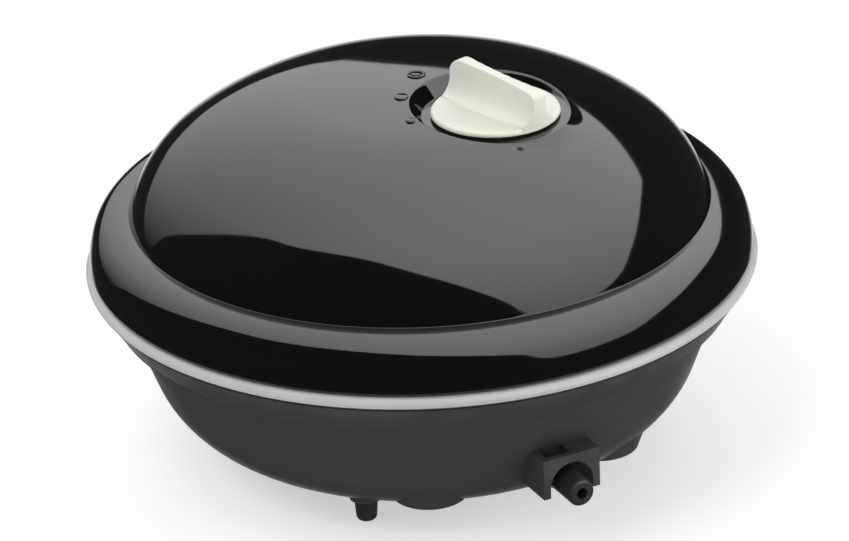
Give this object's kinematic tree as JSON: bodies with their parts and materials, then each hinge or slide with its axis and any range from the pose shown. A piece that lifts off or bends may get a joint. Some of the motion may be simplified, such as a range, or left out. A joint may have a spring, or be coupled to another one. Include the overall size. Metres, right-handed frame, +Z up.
{
  "type": "aquarium air pump",
  "caption": "Round domed diaphragm air pump for an aquarium: glossy cover over a bowl base, flow knob on a recessed ledge, hooded air outlet and rubber feet.",
  "frame": {"origin": "on the ground plane under the centre of the round case", "axes": "+Z up, -Y along the air outlet, +X to the right of the outlet seen from above with the outlet towards the viewer"},
  "size_m": [0.136, 0.136, 0.0833],
  "materials": {
    "cover": "high gloss moulded",
    "trim_ring": "soft grey satin",
    "base": "fine satin texture",
    "black_rubber": "matt",
    "knob": "satin ivory",
    "dark_plastic": "moulded",
    "steel": "zinc plated",
    "board": "green solder mask",
    "components": "mixed electronic parts",
    "laminations": "stacked silicon steel",
    "copper": "enamelled copper wire",
    "bobbin": "natural nylon",
    "magnet": "sintered ferrite",
    "diaphragm": "moulded nitrile",
    "chamber": "moulded acetal",
    "hose": "clear-grey silicone",
    "felt": "pressed felt",
    "wire": "insulated wire"
  },
  "bodies": {
    "housing": {"cover": "cover", "trim_ring": "trim_ring", "base": "base", "case_screws": "steel", "rubber_feet": "black_rubber", "pot_body": "dark_plastic", "circuit_board": "board", "board_parts": "components", "board_screws": "steel", "magnet_core": "laminations", "core_screws": "steel", "coil_bobbin": "bobbin", "coil_winding": "copper", "pivot_pin": "steel", "valve_housing": "chamber", "valve_plate": "chamber", "chamber_ring": "chamber", "clamp_ring": "chamber", "diaphragm": "diaphragm", "chamber_screws": "steel", "outlet_nozzle": "dark_plastic", "air_hose": "hose", "intake_felt": "felt", "filter_cap": "dark_plastic", "cord_gland": "black_rubber", "power_lead": "black_rubber", "coil_leads": "wire"},
    "knob": {"knob": "knob", "pot_shaft": "steel"},
    "swing_arm": {"swing_arm": "dark_plastic", "arm_magnet": "magnet", "clamp_plate": "steel", "clamp_screw": "steel"},
    "inlet_flap": {"inlet_flap": "diaphragm"},
    "outlet_flap": {"outlet_flap": "diaphragm"}
  },
  "joints": [
    {"name": "knob_turn", "type": "hinge", "parent": "housing", "child": "knob", "pos_m": [0.0095, -0.0161, 0.0753], "axis": [0, 0, 1], "range_deg": [0, 71]},
    {"name": "arm_swing", "type": "hinge", "parent": "housing", "child": "swing_arm", "pos_m": [0.03, 0, 0.0325], "axis": [0, 1, 0], "range_deg": [-2, 2], "stiffness_Nm_per_rad": 1, "deforming": ["diaphragm"]},
    {"name": "inlet_flap_lift", "type": "hinge", "parent": "housing", "child": "inlet_flap", "pos_m": [0.006, 0.012, 0.0205], "axis": [-1, 0, 0], "range_deg": [0, 10]},
    {"name": "outlet_flap_lift", "type": "hinge", "parent": "housing", "child": "outlet_flap", "pos_m": [0.006, -0.012, 0.0185], "axis": [-1, 0, 0], "range_deg": [0, 10]}
  ]
}
